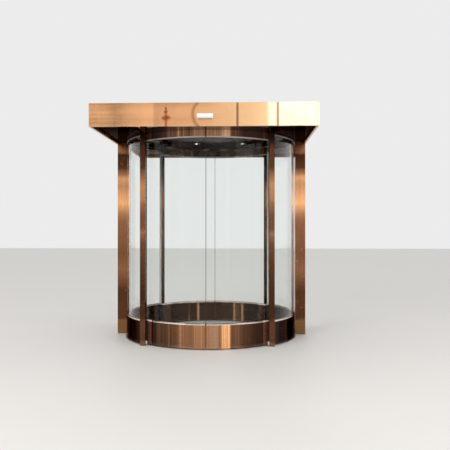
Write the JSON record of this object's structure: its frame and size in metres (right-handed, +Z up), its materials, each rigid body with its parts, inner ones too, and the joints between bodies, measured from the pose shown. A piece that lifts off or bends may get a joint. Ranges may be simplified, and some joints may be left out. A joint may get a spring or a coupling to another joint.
{
  "type": "round door drum with curved sliding leaves",
  "caption": "Round glass door drum under a bronze portal canopy, with curved fixed walls and curved glass leaves that slide round the drum's axis.",
  "frame": {"origin": "on the floor at the drum's axis", "axes": "+Z up, -Y towards the street, +Y into the building, +X to the right as seen from the street"},
  "size_m": [2.592, 3.13, 2.875],
  "materials": {
    "clear_glass": "clear, polished edges",
    "bronze_rail": "bronze-coloured stainless sheet, mirror-like",
    "bronze_post": "bronze-coloured stainless sheet, satin",
    "bronze_cladding": "bronze-coloured stainless sheet, mirror-like",
    "polished_soffit": "dark polished panel",
    "white_sensor": "moulded, slightly glossy",
    "white_guide": "matt",
    "lamp_white": "opal",
    "floor_steel": "brushed",
    "head_channel": "satin",
    "plain_steel": "plain mill finish"
  },
  "bodies": {
    "drum_and_canopy": {"floor_ring": "floor_steel", "post_front_left": "bronze_post", "wall_plinth_front_left": "bronze_rail", "wall_glass_front_left": "clear_glass", "post_front_right": "bronze_post", "wall_plinth_front_right": "bronze_rail", "wall_glass_front_right": "clear_glass", "post_rear_left": "bronze_post", "wall_plinth_rear_left": "bronze_rail", "wall_glass_rear_left": "clear_glass", "post_rear_right": "bronze_post", "wall_plinth_rear_right": "bronze_rail", "wall_glass_rear_right": "clear_glass", "wall_head_channels": "head_channel", "floor_guides": "white_guide", "jamb_column_left": "bronze_post", "jamb_column_right": "bronze_post", "soffit_front": "polished_soffit", "soffit_rear": "polished_soffit", "drum_ceiling": "polished_soffit", "downlights": "lamp_white", "ring_track": "plain_steel", "roof_deck": "plain_steel", "fascia_front": "bronze_cladding", "fascia_rear": "bronze_cladding", "canopy_cheek_left": "bronze_cladding", "canopy_cheek_right": "bronze_cladding", "door_sensor_front": "white_sensor", "door_sensor_rear": "white_sensor"},
    "leaf_front_left": {"leaf_bottom_rail_front_left": "bronze_rail", "leaf_glass_front_left": "clear_glass", "leaf_top_rail_front_left": "bronze_rail", "leaf_trucks_front_left": "plain_steel"},
    "leaf_front_right": {"leaf_bottom_rail_front_right": "bronze_rail", "leaf_glass_front_right": "clear_glass", "leaf_top_rail_front_right": "bronze_rail", "leaf_trucks_front_right": "plain_steel"},
    "leaf_rear_left": {"leaf_bottom_rail_rear_left": "bronze_rail", "leaf_glass_rear_left": "clear_glass", "leaf_top_rail_rear_left": "bronze_rail", "leaf_trucks_rear_left": "plain_steel"},
    "leaf_rear_right": {"leaf_bottom_rail_rear_right": "bronze_rail", "leaf_glass_rear_right": "clear_glass", "leaf_top_rail_rear_right": "bronze_rail", "leaf_trucks_rear_right": "plain_steel"}
  },
  "joints": [
    {"name": "front_left_slide", "type": "hinge", "parent": "drum_and_canopy", "child": "leaf_front_left", "pos_m": [0, 0, 0], "axis": [0, 0, -1], "range_deg": [0, 42]},
    {"name": "front_right_slide", "type": "hinge", "parent": "drum_and_canopy", "child": "leaf_front_right", "pos_m": [0, 0, 0], "axis": [0, 0, 1], "range_deg": [0, 42]},
    {"name": "rear_left_slide", "type": "hinge", "parent": "drum_and_canopy", "child": "leaf_rear_left", "pos_m": [0, 0, 0], "axis": [0, 0, 1], "range_deg": [0, 42]},
    {"name": "rear_right_slide", "type": "hinge", "parent": "drum_and_canopy", "child": "leaf_rear_right", "pos_m": [0, 0, 0], "axis": [0, 0, -1], "range_deg": [0, 42]}
  ],
  "couplings": [
    {"joint": "front_left_slide", "follows": "front_right_slide", "ratio": 1},
    {"joint": "rear_left_slide", "follows": "rear_right_slide", "ratio": 1}
  ]
}
